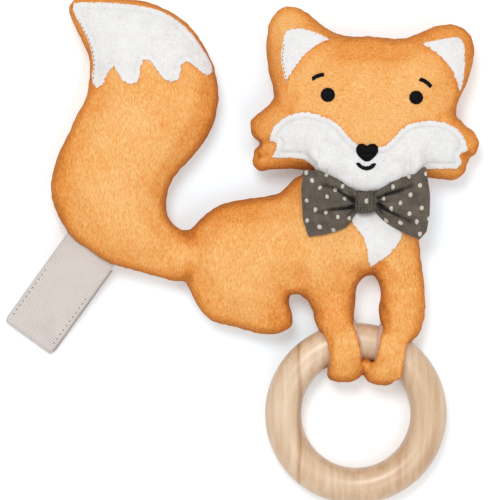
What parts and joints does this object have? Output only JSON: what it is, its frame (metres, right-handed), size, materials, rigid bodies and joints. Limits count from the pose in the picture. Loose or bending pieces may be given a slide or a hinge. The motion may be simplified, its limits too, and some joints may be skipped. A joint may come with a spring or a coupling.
{
  "type": "baby rattle",
  "caption": "Flat plush fox rattle with a dotted bow tie, a curled tail, a wooden teething ring held in its front paws and a doubled ribbon strap with a hook-and-loop end.",
  "frame": {"origin": "middle of the overall outline, on the surface that the toy's back lies on", "axes": "+Z out of the toy's front (the face and chest side), +Y towards the ears and tail tip, +X towards the side the front paws are on, seen from the front"},
  "size_m": [0.1815, 0.195, 0.0301],
  "materials": {
    "orange_plush": "short pile plush",
    "wadding": "polyester wadding",
    "white_felt": "short white plush felt",
    "black_thread": "satin stitch",
    "dotted_cotton": "woven cotton with cream dots",
    "beige_lining": "smooth lining cloth",
    "capsule_plastic": "gloss",
    "bead_plastic": "gloss",
    "ribbon": "ribbed grosgrain",
    "tape": "hook and loop tape",
    "beech_wood": "satin varnish"
  },
  "bodies": {
    "torso": {"body_front_panel": "orange_plush", "body_back_panel": "orange_plush", "body_filling": "wadding", "chest_patch": "white_felt", "bow_tie_left_wing": "dotted_cotton", "bow_tie_right_wing": "dotted_cotton", "bow_tie_knot": "dotted_cotton", "rattle_capsule_front": "capsule_plastic", "rattle_capsule_back": "capsule_plastic"},
    "tail": {"tail_front_panel": "orange_plush", "tail_back_panel": "orange_plush", "tail_filling": "wadding", "tail_tip_patch": "white_felt"},
    "head": {"head_front_panel": "orange_plush", "head_back_panel": "orange_plush", "head_filling": "wadding", "left_ear_patch": "white_felt", "right_ear_patch": "white_felt", "muzzle_patch": "white_felt", "left_eye": "black_thread", "right_eye": "black_thread", "left_brow": "black_thread", "right_brow": "black_thread", "nose": "black_thread", "mouth": "black_thread"},
    "strap": {"strap_upper_leaf": "ribbon", "strap_upper_tape": "tape"},
    "strap_flap": {"strap_lower_leaf": "ribbon", "strap_lower_tape": "tape"},
    "paws": {"left_paw_front_panel": "orange_plush", "left_paw_back_panel": "orange_plush", "left_paw_filling": "wadding", "left_paw_lining": "beige_lining", "right_paw_front_panel": "orange_plush", "right_paw_back_panel": "orange_plush", "right_paw_filling": "wadding", "right_paw_lining": "beige_lining"},
    "ring": {"wooden_ring": "beech_wood"},
    "bead_a": {"bead_1": "bead_plastic"},
    "bead_b": {"bead_2": "bead_plastic"},
    "bead_c": {"bead_3": "bead_plastic"}
  },
  "joints": [
    {"name": "tail_bend", "type": "hinge", "parent": "torso", "child": "tail", "pos_m": [-0.0225, -0.0018, 0.0102], "axis": [0, 1, 0], "range_deg": [-35, 35]},
    {"name": "head_tilt", "type": "hinge", "parent": "torso", "child": "head", "pos_m": [0.0475, 0.0272, 0.0108], "axis": [1, 0, 0], "range_deg": [-30, 8]},
    {"name": "strap_fold", "type": "hinge", "parent": "tail", "child": "strap", "pos_m": [-0.05909, 0.00027, 0.01014], "axis": [-0.8105, 0.5857, 0], "range_deg": [-8, 75]},
    {"name": "strap_open", "type": "hinge", "parent": "strap", "child": "strap_flap", "pos_m": [-0.08213, -0.03162, 0.00269], "axis": [-0.8105, 0.5857, 0], "range_deg": [0, 170]},
    {"name": "paws_swing", "type": "hinge", "parent": "torso", "child": "paws", "pos_m": [0.0485, -0.0239, 0.0102], "axis": [1, 0, 0], "range_deg": [-40, 40]},
    {"name": "ring_spin", "type": "hinge", "parent": "paws", "child": "ring", "pos_m": [0.0434, -0.0625, 0.0086], "axis": [0, -0.0571, 0.9984], "continuous": true},
    {"name": "bead_a_slide", "type": "slide", "parent": "torso", "child": "bead_a", "axis": [1, 0, 0], "range_m": [-0.0012, 0.0012]},
    {"name": "bead_b_slide", "type": "slide", "parent": "torso", "child": "bead_b", "axis": [1, 0, 0], "range_m": [-0.0012, 0.0012]},
    {"name": "bead_c_slide", "type": "slide", "parent": "torso", "child": "bead_c", "axis": [1, 0, 0], "range_m": [-0.0012, 0.0012]}
  ]
}
